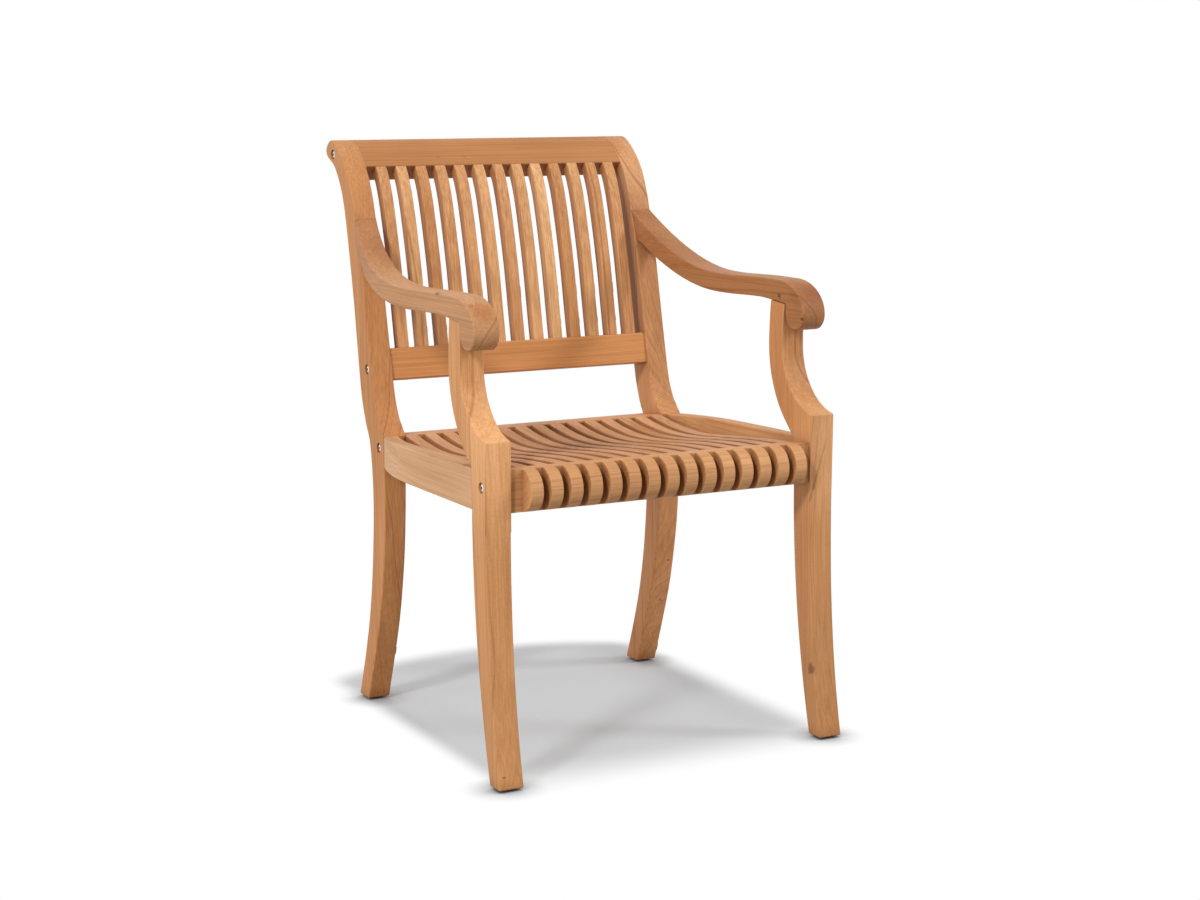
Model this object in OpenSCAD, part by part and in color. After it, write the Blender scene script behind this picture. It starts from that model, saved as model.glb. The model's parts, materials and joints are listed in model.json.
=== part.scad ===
// Dining armchair in solid teak: bandsawn side frames, a toothed front rail, a dished slatted seat
// and a curved slatted back between scrolled rear posts.
// X runs across the chair, -Y is the front and Z is up. Left and right are as seen from the front.
// Depths are first measured from the front of the front legs, and heights from the bottom of the feet.
// centred() then puts the origin on the floor under the middle of the chair.

/* [Seat] */
// Height of the front seat rail above the bottom of the feet
seat_h = 450; // [430:1:470]
// How much lower the seat is at the back
seat_drop = 10.5; // [4:0.5:16]
// From the front of the front legs to the front of the rear posts
seat_d = 414.5; // [390:0.5:440]
// Depth of the dip in the seat slats
dish = 14.4; // [4:0.1:18]
// Place of the dip, where a larger number is further back
dish_bias = 1.72; // [1:0.02:2]
// Number of seat slats
seat_slats = 15; // [11:2:17]
// Width of a seat slat and of a tooth
seat_slat_w = 19.5; // [15:0.5:22]
// Thickness of a seat slat
seat_slat_t = 18; // [15:0.5:21]

/* [Seat rails] */
// Height of the front seat rail
front_rail_h = 61.5; // [56:0.5:66]
// Thickness of the front seat rail behind its teeth
front_rail_t = 19.5; // [18:0.5:24]
// How far the front rail lies behind the front of the legs
front_rail_set = 5.5; // [2:0.5:9]
// How far the centre of a tooth's curve lies behind the notches
tooth_set = 2.5; // [0:0.5:5]
// Height of the back seat rail
back_rail_h = 50; // [44:1:56]
// Depth of the back seat rail from front to back
back_rail_d = 44; // [36:1:48]
// How far the top of the back seat rail falls towards its rear
back_rail_fall = 2.5; // [0:0.5:5]
// Thickness of a side seat rail
side_rail_t = 25; // [21:0.5:29]
// Step up from the bottom of the front rail to the bottom of a side rail
side_rail_lift = 1.5; // [0:0.5:4]
// How far a side rail lies inside the outer face of the front leg
side_rail_set = 1; // [0:0.5:3]
// Length of the bowed rear end of a side rail
side_rail_bow = 135; // [90:5:220]

/* [Front legs] */
// Width of the chair over the front legs
front_w = 580; // [550:2:620]
// Width of a front leg
leg_w = 39.3; // [36:0.1:44]
// Depth of a front leg at the seat
leg_d = 47; // [44:0.5:52]
// Depth of a front foot
front_foot_d = 31; // [24:0.1:36]
// How far a front foot swings forward
front_kick = 36; // [28:1:48]
// Front of the arm support, behind the front of the leg
support_set = 83.5; // [70:0.5:95]
// Depth of the arm support
support_d = 38; // [30:0.5:42]
// How far the top of the arm support curls forward
neck = 4.5; // [2:0.5:7]
// Radius of the support's hollow front
support_front_r = 99; // [88:1:110]
// Radius of the support's rounded back
support_back_r = 164; // [150:1:166]
// Height of the hollow front's centre above the seat
support_front_rise = 140.5; // [125:0.5:150]
// Height of the rounded back's centre above the seat
support_back_rise = 140; // [130:1:150]

/* [Rear posts] */
// Width of the chair over the rear posts
rear_w = 533.4; // [510:0.2:545]
// Width of a rear post
post_w = 36.6; // [33:0.1:42]
// Height of the back above the bottom of the feet
back_h = 891; // [860:1:930]
// How far the back leans from the seat to the top of the scroll
lean = 194; // [170:1:215]
// How far a rear foot swings back
rear_kick = 80.7; // [60:0.1:95]
// Depth of a rear foot
rear_foot_d = 37.2; // [30:0.1:44]
// Depth of a rear post below the seat
post_d = 48.5; // [42:0.5:52]

/* [Arms] */
// Height of the arms at their front, above the bottom of the feet
arm_h = 688; // [665:1:700]
// Width of an arm along its straight part
arm_w = 40.5; // [38:0.5:46]
// Thickness of an arm
arm_t = 30.7; // [27:0.1:35]
// Extra thickness of an arm at the front of its support
arm_swell = 5; // [3:0.1:8]
// How far an arm overhangs the outer face of the front leg
arm_overhang = 2.3; // [1:0.1:5]
// Rise of the arm's top from its front to the post
arm_rise = 84; // [70:0.5:100]
// Sag of the arm's top before it rises
arm_sag = 3; // [0:0.5:5]
// Length of the bowed rear end of an arm
arm_bow = 185; // [120:5:240]
// Length of the rising rear end of an arm
arm_climb = 252; // [230:1:290]
// Radius of the scroll at the front of an arm
arm_scroll_r = 24.5; // [21:0.5:29]
// Drop of the scroll's centre below the top of the arm
arm_scroll_drop = 49; // [40:1:54]
// Length of the scroll's round top, from the front of the arm support backwards
brow = 18; // [6:0.5:26]
// Saw kerf between the scroll and the arm support
kerf = 1; // [0.4:0.1:2]

/* [Back] */
// Number of back slats
back_slats = 13; // [9:2:15]
// Width of a back slat
back_slat_w = 18; // [14:0.5:20]
// Thickness of a back slat
back_slat_t = 18; // [15:0.5:20]
// Height of the lower back rail
lower_rail_h = 50; // [42:1:56]
// Thickness of the lower back rail
lower_rail_t = 26; // [24:0.5:32]
// Gap between the seat and the lower back rail
lower_rail_gap = 82; // [70:1:100]
// Backward tilt of the lower back rail
lower_rail_tilt = 11.6; // [8:0.2:15]
// How far the lower back rail lies behind the front of the posts
lower_rail_set = 4; // [2:0.5:6]
// Length of the crest rail's front face below the top, measured down
crest_drop = 40; // [34:1:50]
// Slope of the crest rail's underside
crest_tilt = 40; // [30:1:44]

/* [Joints] */
// Length of the tenons on the slats
slat_tenon = 12; // [8:1:14]
// Shoulder on each side of a tenon
shoulder = 3.5; // [2.5:0.5:5]
// Length of the stub tenons on the cross rails
stub = 10; // [6:1:14]
// Thickness of the tenons on the rails and arms
tenon_t = 12; // [9:0.5:14]
// Length of the tenons on the side rails
side_tenon = 12; // [8:1:14]
// Length of the tenons of the arms and the arm supports
arm_tenon = 16; // [10:1:20]
// Gap round a tenon in its mortise
fit = 0.15; // [0.1:0.05:0.4]

/* [Connector bolts] */
// Diameter of the bolt shank
bolt_d = 6; // [5:0.5:7]
// Diameter of the bolt head
head_d = 13.5; // [11:0.5:14.5]
// Height of the bolt head
head_h = 3.6; // [2.8:0.1:4.2]
// Width across the flats of the hexagon socket
socket_af = 4; // [3:0.5:5]
// Diameter of the counterbore round a head
sink_d = 16; // [15:0.5:18]
// Depth of the counterbore
sink_h = 4.5; // [4.5:0.5:9]
// Diameter of a barrel nut
nut_d = 10; // [9:0.5:12]
// Length of a barrel nut
nut_l = 14; // [12:1:16]
// From the end of a cross rail to its barrel nut
nut_inset = 28; // [22:1:34]
// Gap round a bolt and a barrel nut
bore_fit = 0.25; // [0.15:0.05:0.5]
// From the top of the front seat rail down to its bolts
front_bolt_drop = 23.5; // [22:0.5:26]
// From the top of the back seat rail down to its bolts
back_bolt_drop = 20; // [19:0.5:24]
// From the middle of the lower back rail down to its bolts
lower_bolt_drop = 5; // [0:0.5:7]

/* [Foot glides] */
// Diameter of a glide
glide_d = 16; // [13:0.5:20]
// Thickness of a glide, which lifts the feet off the floor
glide_h = 3.5; // [2.5:0.5:5]
// Rounding of a glide's lower edge
glide_r = 1; // [0.5:0.1:2]
// Diameter of the stud that holds a glide in its foot
glide_stud_d = 4; // [3:0.5:6]
// Length of the stud
glide_stud_l = 12; // [8:1:16]

/* [Hidden] */
wood = [0.82, 0.58, 0.38];
slat_wood = [0.85, 0.62, 0.42];
steel = [0.78, 0.78, 0.76];
dark_plastic = [0.12, 0.12, 0.12];
round_fn = 96;
eps = 0.01;

// Seat lines
seat_back_h = seat_h - seat_drop;
rail_bottom = seat_h - front_rail_h;
rail_back = front_rail_set + front_rail_t;
nose_r = front_rail_h / 2;
function seat_share(y) = min(1, max(0, (y - rail_back) / (seat_d - rail_back)));
function seat_top(y) = seat_h - seat_drop * seat_share(y) - dish * sin(180 * pow(seat_share(y), dish_bias));

// Lines across the chair, from the middle outwards
leg_out = front_w / 2;
leg_in = leg_out - leg_w;
post_out = rear_w / 2;
post_in = post_out - post_w;
post_mid = post_out - post_w / 2;
leg_mid = leg_out - leg_w / 2;
arm_out = leg_out + arm_overhang;
rail_out = leg_out - side_rail_set;

// Slats share the width between the side rails, or between the posts, with equal gaps
seat_gap = (2 * (post_out - side_rail_t) - seat_slats * seat_slat_w) / (seat_slats + 1);
seat_pitch = seat_gap + seat_slat_w;
back_gap = (2 * post_in - back_slats * back_slat_w) / (back_slats + 1);
back_pitch = back_gap + back_slat_w;
function seat_x(i) = (i - (seat_slats - 1) / 2) * seat_pitch;
function back_x(i) = (i - (back_slats - 1) / 2) * back_pitch;

// A smooth curve through stations p, with n steps to a span
function bend(a, b, c, d, t) =
    0.5 * (2 * b + (c - a) * t + (2 * a - 5 * b + 4 * c - d) * t * t + (3 * b - a - 3 * c + d) * t * t * t);
function curve(p, n) =
    let (m = len(p) - 1, q = concat([2 * p[0] - p[1]], p, [2 * p[m] - p[m - 1]]))
    concat([for (i = [0:m - 1]) for (k = [0:n - 1]) bend(q[i], q[i + 1], q[i + 2], q[i + 3], k / n)], [p[m]]);

// A path moved sideways by a distance, to its left when the distance is positive
function unit(v) = v / norm(v);
function heading(p, i) = unit(p[min(i + 1, len(p) - 1)] - p[max(i - 1, 0)]);
function beside(p, d) = [for (i = [0:len(p) - 1]) let (h = heading(p, i)) p[i] + d * [-h[1], h[0]]];
function reversed(p) = [for (i = [len(p) - 1:-1:0]) p[i]];
function band(p, a, b) = concat(beside(p, a), reversed(beside(p, b)));
function arc(c, rx, rz, a0, a1, n) =
    [for (i = [0:n]) let (a = a0 + (a1 - a0) * i / n) c + [rx * cos(a), rz * sin(a)]];

// Rear post seen from the side. Below the seat, stations are shares of the rear foot's swing and of
// the seat's height. Above it, they are shares of the lean and of the rise to the top of the back.
rise = back_h - seat_back_h;
foot_back = rear_kick + rear_foot_d - post_d;
function low(s) = [seat_d + s[0] * rear_kick, s[1] * seat_back_h];
function low_back(s) = [seat_d + post_d + s[0] * foot_back, s[1] * seat_back_h];
function high(s) = [seat_d + s[0] * lean, seat_back_h + s[1] * rise];
shin = [for (s = [[1, 0], [0.66, 0.17], [0.355, 0.34], [0.12, 0.55], [0.03, 0.72], [0, 0.86]]) low(s)];
post_steps = 5;
front_stations = [
    [0, 0], [0.08, 0.035], [0.18, 0.112], [0.255, 0.235], [0.342, 0.402], [0.422, 0.56],
    [0.528, 0.725], [0.615, 0.832], [0.715, 0.906], [0.862, 0.967]];
scroll_stations = [
    [1, 1], [1.084, 0.993], [1.135, 0.966], [1.112, 0.944], [1.05, 0.929], [0.98, 0.915]];
rear_stations = [
    [0.917, 0.889], [0.835, 0.84], [0.773, 0.778], [0.728, 0.71], [0.664, 0.589], [0.586, 0.425],
    [0.523, 0.26], [0.462, 0.12], [0.38, 0.025], [0.295, -0.05]];
calf = [for (s = [[0, 0.76], [0.095, 0.53], [0.295, 0.34], [0.585, 0.18], [1, 0]]) low_back(s)];
front_edge = curve([for (s = concat(front_stations, [scroll_stations[0]])) high(s)], post_steps);
post_outline = concat(
    curve(shin, post_steps),
    curve(concat([for (s = concat(front_stations, scroll_stations, rear_stations)) high(s)], calf), post_steps));
front_by_height = [for (p = front_edge) [p[1], p[0]]];
function post_front(z) = lookup(z, front_by_height);

// Overall depth, which centres the chair on its origin. The glides lift it.
front_reach = min(-front_kick, front_rail_set + tooth_set - nose_r);
back_reach = max([for (p = post_outline) p[0]]);
module centred() translate([0, -(front_reach + back_reach) / 2, glide_h]) children();

// A side outline of depth and height, made solid from x0 to x1
module slab(x0, x1) translate([x0, 0, 0]) rotate([90, 0, 90]) linear_extrude(x1 - x0) children();
module block(x, y, z) translate([x[0], y[0], z[0]]) cube([x[1] - x[0], y[1] - y[0], z[1] - z[0]]);
module on_side(side) mirror([side < 0 ? 1 : 0, 0, 0]) children();

// A plan outline between two lines that run straight from y0 and then bow in to the post at y1
function bowed(y, x_front, x_rear, y0, y1) = x_front - (x_front - x_rear) * pow(max(0, (y - y0) / (y1 - y0)), 2);
module bowed_plan(out_front, out_rear, in_front, in_rear, y_start, bow, y_end, z0, z1) {
    steps = 12;
    y0 = y_end - bow;
    ys = concat([y_start], [for (i = [0:steps]) y0 + bow * i / steps]);
    translate([0, 0, z0]) linear_extrude(z1 - z0) polygon(concat(
        [for (y = ys) [bowed(y, out_front, out_rear, y0, y_end), y]],
        reversed([for (y = ys) [bowed(y, in_front, in_rear, y0, y_end), y]])));
}

// Front leg and arm support, seen from the side
shin_power = 2.45;
calf_power = 1.95;
leg_bend_h = rail_bottom - 4;
support_back = support_set + support_d;
front_arc_c = [support_set - support_front_r, seat_h + support_front_rise];
back_arc_c = [support_back - support_back_r, seat_h + support_back_rise];
shoulder_a = -acos((0 - front_arc_c[0]) / support_front_r);
hip_a = -acos((leg_d - back_arc_c[0]) / support_back_r);
function leg_front(z) = -front_kick * pow(1 - z / leg_bend_h, shin_power);
function leg_back(z) = leg_d - (leg_d - front_foot_d + front_kick) * pow(1 - z / leg_bend_h, calf_power);
neck_h = arm_h - arm_t - front_arc_c[1];
function necked(y, z0) = [for (i = [1:8]) [y - neck * pow(i / 8, 2), z0 + neck_h * i / 8]];
leg_heights = [for (i = [0:16]) leg_bend_h * i / 16];
leg_outline = concat(
    [for (z = leg_heights) [leg_front(z), z]],
    arc(front_arc_c, support_front_r, support_front_r, shoulder_a, 0, 18),
    necked(support_set, front_arc_c[1]),
    reversed(necked(support_back, back_arc_c[1])),
    arc(back_arc_c, support_back_r, support_back_r, 0, hip_a, 18),
    [for (z = reversed(leg_heights)) [leg_back(z), z]]);

// Arm, seen from the side
swell_length = 70;
climb_power = 2.3;
scroll_back = support_set - neck - kerf;
scroll_c = [scroll_back - arm_scroll_r, arm_h - arm_scroll_drop];
brow_y = support_set + brow;
sag_y = brow_y + 40;
arm_join = post_front(arm_h + arm_rise);
climb_y = arm_join - arm_climb;
arm_end = arm_join + 20;
function sag_share(y) = min(1, max(0, (y - sag_y) / (climb_y - sag_y)));
function climb_share(y) = max(0, y - climb_y) / arm_climb;
function arm_top(y) = arm_h - arm_sag * pow(sin(90 * sag_share(y)), 2)
    + (arm_rise + arm_sag) * pow(climb_share(y), climb_power);
function arm_swelling(y) = arm_swell * pow(max(0, 1 - (y - support_set) / swell_length), 1.3);
arm_path = [for (i = [0:46]) let (y = scroll_back + (arm_end - scroll_back) * i / 46) [y, arm_top(y)]];
arm_under = [for (p = beside(arm_path, -arm_t)) p - [0, arm_swelling(p[0])]];
arm_outline = concat(
    reversed([for (p = arm_path) if (p[0] > brow_y) p]),
    arc([brow_y, scroll_c[1]], brow_y - scroll_back + 2 * arm_scroll_r, arm_scroll_drop, 90, 180, 16),
    arc(scroll_c, arm_scroll_r, arm_scroll_r, 180, 360, 24),
    arm_under);
arm_tenon_z = arm_h + arm_rise - 31;
support_mid = support_set - neck + support_d / 2;
function arm_under_z(y) = lookup(y, arm_under);
support_top = arm_under_z(support_mid);

// Where the cross rails of the back lie
lower_rail_z = seat_back_h + lower_rail_gap;
lower_rail_p = [post_front(lower_rail_z) + lower_rail_set, lower_rail_z];
lower_up = [sin(lower_rail_tilt), cos(lower_rail_tilt)];
lower_in = [cos(lower_rail_tilt), -sin(lower_rail_tilt)];
lower_top_p = lower_rail_p + lower_rail_h * lower_up;
lower_mid = lower_rail_p + lower_up * lower_rail_h / 2 + lower_in * lower_rail_t / 2;
crest_z = back_h - crest_drop;
crest_p = [post_front(crest_z), crest_z];
crest_up = [sin(crest_tilt), cos(crest_tilt)];
crest_in = [cos(crest_tilt), -sin(crest_tilt)];

// Bolts: place seen from the side, outer face, inner face and the height that the nut's bore starts at
scroll_mid = high([0.985, 0.952]);
bolts = [
    [[front_rail_set + front_rail_t / 2, seat_h - front_bolt_drop], leg_out, leg_in, rail_bottom],
    [[seat_d + back_rail_d / 2, seat_back_h - back_bolt_drop], post_out, post_in, seat_back_h - back_rail_h],
    [lower_mid - lower_bolt_drop * lower_up, post_out, post_in, lower_rail_z - lower_rail_t],
    [scroll_mid, post_out, post_in, scroll_mid[1] - 30]];
module at_bolt(b) translate([0, b[0][0], b[0][1]]) children();

// The hole for one bolt, through the post or leg and into the end of the rail
module bolt_hole(b) at_bolt(b) {
    translate([b[2] - nut_inset - nut_d, 0, 0]) rotate([0, 90, 0])
        cylinder(d = bolt_d + 2 * bore_fit, h = b[1] - b[2] + nut_inset + nut_d, $fn = round_fn);
    translate([b[1] - sink_h, 0, 0]) rotate([0, 90, 0]) cylinder(d = sink_d, h = sink_h + 1, $fn = round_fn);
}
// The upright bore for a barrel nut, open below
module nut_hole(b) translate([b[2] - nut_inset, b[0][0], b[3] - 1])
    cylinder(d = nut_d + 2 * bore_fit, h = b[0][1] + nut_l / 2 + bore_fit - b[3] + 1, $fn = round_fn);

// Glides lie under the middle of each foot: place across and along the chair
front_glide = [leg_mid, front_foot_d / 2 - front_kick];
rear_glide = [post_mid, seat_d + rear_kick + rear_foot_d / 2];
module stud(p, g) translate([p[0], p[1], -1]) cylinder(d = glide_stud_d + 2 * g, h = glide_stud_l + 1 + g, $fn = round_fn);

// Tenons, each grown by g all round and made longer by g where it is a mortise
module leg_tenon(g) block([leg_mid - tenon_t / 2 - g, leg_mid + tenon_t / 2 + g],
    [support_mid - 11 - g, support_mid + 11 + g], [support_top - 8, support_top + arm_tenon + g]);
module arm_post_tenon(g) block([post_mid - tenon_t / 2 - g, post_mid + tenon_t / 2 + g],
    [post_front(arm_tenon_z) - 4, post_front(arm_tenon_z) + arm_tenon + g],
    [arm_tenon_z - 11 - g, arm_tenon_z + 11 + g]);
side_tenon_z = [rail_bottom + 12, seat_back_h - 10];
module rail_leg_tenon(g) block(
    [rail_out - side_rail_t / 2 - tenon_t / 2 - g, rail_out - side_rail_t / 2 + tenon_t / 2 + g],
    [leg_d - side_tenon - g, leg_d + 2], [side_tenon_z[0] - g, side_tenon_z[1] + g]);
module rail_post_tenon(g) block(
    [post_out - side_rail_t / 2 - tenon_t / 2 - g, post_out - side_rail_t / 2 + tenon_t / 2 + g],
    [seat_d - 2, seat_d + side_tenon + g], [side_tenon_z[0] - g, side_tenon_z[1] + g]);
module front_stub(g) block([-leg_in - stub - g, leg_in + stub + g],
    [bolts[0][0][0] - tenon_t / 2 - g, bolts[0][0][0] + tenon_t / 2 + g],
    [rail_bottom + 10 - g, seat_h - 10 + g]);
module back_stub(g) block([-post_in - stub - g, post_in + stub + g],
    [bolts[1][0][0] - tenon_t / 2 - g, bolts[1][0][0] + tenon_t / 2 + g],
    [seat_back_h - back_rail_h + 9 - g, seat_back_h - 9 + g]);
module lower_stub(g) slab(-post_in - stub - g, post_in + stub + g)
    translate(lower_mid) rotate(-lower_rail_tilt)
        square([tenon_t + 2 * g, lower_rail_h - 16 + 2 * g], center = true);
module crest_stub(g) slab(-post_in - stub - g, post_in + stub + g)
    translate(crest_p + 17 * crest_in + 15 * crest_up) rotate(-crest_tilt)
        square([tenon_t + 2 * g, 14 + 2 * g], center = true);
module seat_slat_tenons(i, g) {
    half = seat_slat_w / 2 - shoulder + g;
    for (e = [[rail_back - slat_tenon - g, rail_back + 1, seat_top(rail_back)],
              [seat_d - 1, seat_d + slat_tenon + g, seat_top(seat_d)]])
        block([seat_x(i) - half, seat_x(i) + half], [e[0], e[1]],
            [e[2] - seat_slat_t + shoulder - g, e[2] - shoulder + g]);
}

// Back slats follow the front of the posts, set back at the bottom and flush at the crest rail
function slat_set(z) = lower_rail_set * max(0, (crest_z - z) / (crest_z - lower_top_p[1]));
slat_low = lower_top_p[1] - slat_tenon - 12;
slat_high = crest_z + slat_tenon + 12;
slat_path = [for (i = [0:36]) let (z = slat_low + (slat_high - slat_low) * i / 36) [post_front(z) + slat_set(z), z]];
module between_rails(d) {
    a = lower_top_p - d * lower_up;
    b = crest_p + d * crest_up;
    polygon([a - post_d * lower_in, a + post_d * lower_in, b + post_d * crest_in, b - post_d * crest_in]);
}
module back_slat_side(inset, d) intersection() {
    polygon(band(slat_path, -inset, inset - back_slat_t));
    between_rails(d);
}
module back_slat_tenons(i, g) slab(back_x(i) - back_slat_w / 2 + shoulder - g, back_x(i) + back_slat_w / 2 - shoulder + g)
    back_slat_side(shoulder - g, slat_tenon + g);

// Side frames
module rear_post(side) color(wood) centred() on_side(side) difference() {
    slab(post_in, post_out) polygon(post_outline);
    arm_post_tenon(fit);
    rail_post_tenon(fit);
    back_stub(fit);
    lower_stub(fit);
    crest_stub(fit);
    for (b = [bolts[1], bolts[2], bolts[3]]) bolt_hole(b);
    stud(rear_glide, fit);
}
module front_leg(side) color(wood) centred() on_side(side) difference() {
    union() {
        slab(leg_in, leg_out) difference() {
            polygon(leg_outline);
            polygon(concat(arm_under, [[arm_end, arm_h + arm_rise], [scroll_back, arm_h + arm_rise]]));
        }
        leg_tenon(0);
    }
    front_stub(fit);
    rail_leg_tenon(fit);
    bolt_hole(bolts[0]);
    stud(front_glide, fit);
}
module arm(side) color(wood) centred() on_side(side) difference() {
    union() {
        difference() {
            intersection() {
                slab(post_in - 20, arm_out + 1) polygon(arm_outline);
                bowed_plan(arm_out, post_out, arm_out - arm_w, post_in, front_reach, arm_bow,
                    post_front(arm_h + arm_rise), 0, back_h);
            }
            slab(post_in - 20, arm_out + 1) polygon(post_outline);
        }
        arm_post_tenon(0);
    }
    leg_tenon(fit);
}
module side_rail(side) color(wood) centred() on_side(side) union() {
    intersection() {
        slab(0, leg_out) polygon(concat(
            [for (i = [0:12]) let (t = i / 12) [leg_d + (seat_d - leg_d) * t, seat_h - seat_drop * pow(t, 1.5)]],
            [[seat_d, rail_bottom + side_rail_lift], [leg_d, rail_bottom + side_rail_lift]]));
        bowed_plan(rail_out, post_out, rail_out - side_rail_t, post_out - side_rail_t, 0, side_rail_bow,
            seat_d, 0, back_h);
    }
    rail_leg_tenon(0);
    rail_post_tenon(0);
}

// Cross rails
module seat_front_rail() color(wood) centred() difference() {
    union() {
        block([-leg_in, leg_in], [front_rail_set, rail_back], [rail_bottom, seat_h]);
        for (i = [0:seat_slats - 1]) slab(seat_x(i) - seat_slat_w / 2, seat_x(i) + seat_slat_w / 2)
            difference() {
                translate([front_rail_set + tooth_set, rail_bottom + nose_r]) circle(r = nose_r, $fn = round_fn);
                translate([front_rail_set + 1, rail_bottom]) square([2 * nose_r, front_rail_h]);
            }
        front_stub(0);
    }
    for (i = [0:seat_slats - 1]) seat_slat_tenons(i, fit);
    for (side = [-1, 1]) on_side(side) {
        bolt_hole(bolts[0]);
        nut_hole(bolts[0]);
    }
}
module seat_back_rail() color(wood) centred() difference() {
    union() {
        slab(-post_in, post_in) translate([seat_d, seat_back_h]) polygon([[0, 0], [0, -back_rail_h],
            [back_rail_d, -back_rail_h], [back_rail_d, -back_rail_fall]]);
        back_stub(0);
    }
    for (i = [0:seat_slats - 1]) seat_slat_tenons(i, fit);
    for (side = [-1, 1]) on_side(side) {
        bolt_hole(bolts[1]);
        nut_hole(bolts[1]);
    }
}
module lower_back_rail() color(wood) centred() difference() {
    union() {
        slab(-post_in, post_in) translate(lower_rail_p) rotate(-lower_rail_tilt) square([lower_rail_t, lower_rail_h]);
        lower_stub(0);
    }
    for (i = [0:back_slats - 1]) back_slat_tenons(i, fit);
    for (side = [-1, 1]) on_side(side) {
        bolt_hole(bolts[2]);
        nut_hole(bolts[2]);
    }
}
module crest_rail() color(wood) centred() difference() {
    union() {
        slab(-post_in, post_in) intersection() {
            polygon(post_outline);
            translate(crest_p) rotate(-crest_tilt) translate([-post_d, 0]) square([4 * post_d, 2 * post_d]);
        }
        crest_stub(0);
    }
    for (i = [0:back_slats - 1]) back_slat_tenons(i, fit);
    for (side = [-1, 1]) on_side(side) {
        bolt_hole(bolts[3]);
        nut_hole(bolts[3]);
    }
}

// Slats
module seat_slat(i) color(slat_wood) centred() union() {
    steps = 40;
    path = [for (k = [0:steps]) let (y = rail_back + (seat_d - rail_back) * k / steps) [y, seat_top(y)]];
    slab(seat_x(i) - seat_slat_w / 2, seat_x(i) + seat_slat_w / 2)
        polygon(concat(path, reversed([for (p = path) p - [0, seat_slat_t]])));
    seat_slat_tenons(i, 0);
}
module back_slat(i) color(slat_wood) centred() union() {
    slab(back_x(i) - back_slat_w / 2, back_x(i) + back_slat_w / 2) back_slat_side(0, 0);
    back_slat_tenons(i, 0);
}

// Fasteners
module connector_bolt(b) at_bolt(b) rotate([0, 90, 0]) difference() {
    union() {
        translate([0, 0, b[2] - nut_inset - nut_d / 2 - 2])
            cylinder(d = bolt_d, h = b[1] - sink_h - b[2] + nut_inset + nut_d / 2 + 2 + eps, $fn = round_fn);
        translate([0, 0, b[1] - sink_h]) rotate_extrude($fn = round_fn) intersection() {
            square([head_d / 2, head_h]);
            translate([0, head_h - 1.2 * head_d]) circle(r = 1.2 * head_d, $fn = 4 * round_fn);
        }
    }
    translate([0, 0, b[1] - sink_h + head_h * 0.35])
        cylinder(d = socket_af / cos(30), h = head_h, $fn = 6);
}
module connector_bolts() color(steel) centred() for (side = [-1, 1]) on_side(side) for (b = bolts) connector_bolt(b);
module barrel_nut(b) difference() {
    translate([b[2] - nut_inset, b[0][0], b[0][1] - nut_l / 2]) cylinder(d = nut_d, h = nut_l, $fn = round_fn);
    at_bolt(b) translate([b[2] - nut_inset - nut_d, 0, 0]) rotate([0, 90, 0])
        cylinder(d = bolt_d + bore_fit, h = 2 * nut_d, $fn = round_fn);
}
module barrel_nuts() color(steel) centred() for (side = [-1, 1]) on_side(side) for (b = bolts) barrel_nut(b);

// Foot glides: a plastic disc with a stud
module foot_glide(p) {
    stud(p, 0);
    translate([p[0], p[1], -glide_h]) rotate_extrude($fn = round_fn) {
        translate([0, glide_r]) square([glide_d / 2, glide_h - glide_r]);
        square([glide_d / 2 - glide_r, glide_h]);
        translate([glide_d / 2 - glide_r, glide_r]) circle(r = glide_r, $fn = 32);
    }
}
module foot_glides() color(dark_plastic) centred()
    for (side = [-1, 1]) on_side(side) for (p = [front_glide, rear_glide]) foot_glide(p);

function numbered(name, n) = [for (i = [1:n]) str(name, i < 10 ? "_0" : "_", i)];
seat_slat_names = numbered("seat_slat", seat_slats);
back_slat_names = numbered("back_slat", back_slats);
rear_post(-1);  // rear_post_left
rear_post(1);  // rear_post_right
front_leg(-1);  // front_leg_left
front_leg(1);  // front_leg_right
arm(-1);  // arm_left
arm(1);  // arm_right
side_rail(-1);  // side_rail_left
side_rail(1);  // side_rail_right
seat_front_rail();
seat_back_rail();
lower_back_rail();
crest_rail();
connector_bolts();
barrel_nuts();
foot_glides();
for (i = [0:seat_slats - 1]) seat_slat(i);
for (i = [0:back_slats - 1]) back_slat(i);
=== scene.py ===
"""Dressed model of a solid teak dining armchair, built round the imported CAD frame.

The chair's own pieces are the CAD nodes. Here they get eased edges, from modifiers, and teak, steel
or plastic, from procedural nodes. Lengths are in metres, X runs across the chair, -Y is the front
and Z is up.
"""
import bpy
import json
import math
from mathutils import Matrix, Vector

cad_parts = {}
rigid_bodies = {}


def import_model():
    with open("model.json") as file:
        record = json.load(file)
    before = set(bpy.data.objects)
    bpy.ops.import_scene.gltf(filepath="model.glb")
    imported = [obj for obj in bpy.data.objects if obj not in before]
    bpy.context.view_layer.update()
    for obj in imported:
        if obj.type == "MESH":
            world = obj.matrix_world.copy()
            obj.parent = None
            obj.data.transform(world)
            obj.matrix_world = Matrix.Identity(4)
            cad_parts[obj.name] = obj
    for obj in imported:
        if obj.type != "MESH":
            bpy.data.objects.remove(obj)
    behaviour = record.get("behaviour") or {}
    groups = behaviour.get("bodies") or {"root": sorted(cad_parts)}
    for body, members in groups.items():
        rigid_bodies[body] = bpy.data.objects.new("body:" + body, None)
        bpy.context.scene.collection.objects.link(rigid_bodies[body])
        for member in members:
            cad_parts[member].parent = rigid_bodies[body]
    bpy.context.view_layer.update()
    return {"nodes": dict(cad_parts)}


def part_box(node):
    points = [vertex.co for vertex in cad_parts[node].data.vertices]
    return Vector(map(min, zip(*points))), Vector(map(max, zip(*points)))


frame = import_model()

MM = 0.001
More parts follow.
